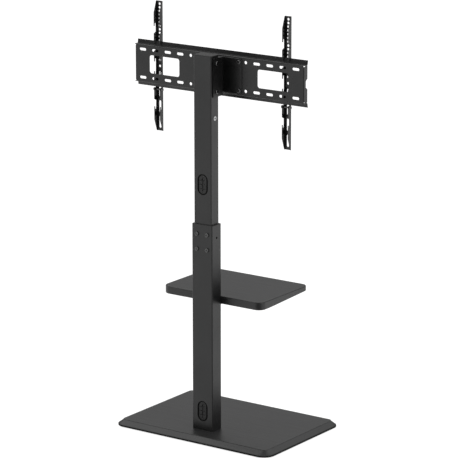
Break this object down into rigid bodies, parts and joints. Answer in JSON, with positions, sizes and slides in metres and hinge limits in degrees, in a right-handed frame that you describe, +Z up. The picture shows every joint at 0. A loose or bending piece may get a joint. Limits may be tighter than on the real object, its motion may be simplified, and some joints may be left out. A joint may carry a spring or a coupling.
{
  "type": "tv stand with mount",
  "caption": "Floor stand for a television: bevelled base board, telescoping rectangular column, shelf, and a swivelling mounting plate that hook-on screen arms slide along.",
  "frame": {"origin": "on the floor under the middle of the base board", "axes": "+Z up; +Y towards the screen side; +X to the right of someone standing behind the stand"},
  "size_m": [0.666, 0.432, 1.4048],
  "materials": {
    "board_film": "fibreboard under a satin charcoal film",
    "tube_paint": "satin charcoal powder coat on steel tube",
    "mount_paint": "satin black powder coat on sheet steel",
    "black_plastic": "matte black moulded plastic",
    "black_fastener": "blackened steel",
    "plain_steel": "zinc plated steel",
    "bush_steel": "bright plated ring",
    "washer_nylon": "dark nylon",
    "pad_rubber": "matte rubber"
  },
  "bodies": {
    "stand": {"base_board": "board_film", "base_pads": "pad_rubber", "base_plate": "plain_steel", "base_bolts": "plain_steel", "column_foot": "plain_steel", "lower_column": "tube_paint", "lower_cable_cover": "black_plastic", "column_sleeve": "black_plastic", "height_bolts": "black_fastener", "height_clamp_plate": "plain_steel", "side_grub_screw": "black_fastener", "shelf_board": "board_film", "shelf_bracket": "mount_paint", "shelf_bracket_bolts": "black_fastener", "shelf_bracket_nuts": "plain_steel", "shelf_screws": "plain_steel"},
    "mast": {"upper_column": "tube_paint", "upper_glide": "black_plastic", "column_cap": "black_plastic", "upper_cable_cover": "black_plastic", "side_bush": "bush_steel", "head_bracket": "mount_paint", "head_bolts": "black_fastener", "head_nuts": "black_fastener", "pivot_bolt": "black_fastener", "pivot_nut": "black_fastener", "pivot_washers": "washer_nylon"},
    "swivel_mount": {"swivel_yoke": "mount_paint", "yoke_bolts": "black_fastener", "yoke_nuts": "black_fastener", "mount_plate": "mount_paint"},
    "arm_left": {"left_arm": "mount_paint", "left_lock_bolt": "black_fastener", "left_lock_nut": "black_fastener"},
    "arm_right": {"right_arm": "mount_paint", "right_lock_bolt": "black_fastener", "right_lock_nut": "black_fastener"}
  },
  "joints": [
    {"name": "height", "type": "slide", "parent": "stand", "child": "mast", "axis": [0, 0, 1], "range_m": [0, 0.15]},
    {"name": "swivel", "type": "hinge", "parent": "mast", "child": "swivel_mount", "pos_m": [0, -0.0795, 1.198], "axis": [0, 0, 1], "range_deg": [-30, 30]},
    {"name": "left_arm_slide", "type": "slide", "parent": "swivel_mount", "child": "arm_left", "axis": [1, 0, 0], "range_m": [-0.05, 0.15]},
    {"name": "right_arm_slide", "type": "slide", "parent": "swivel_mount", "child": "arm_right", "axis": [1, 0, 0], "range_m": [-0.15, 0.05]}
  ]
}
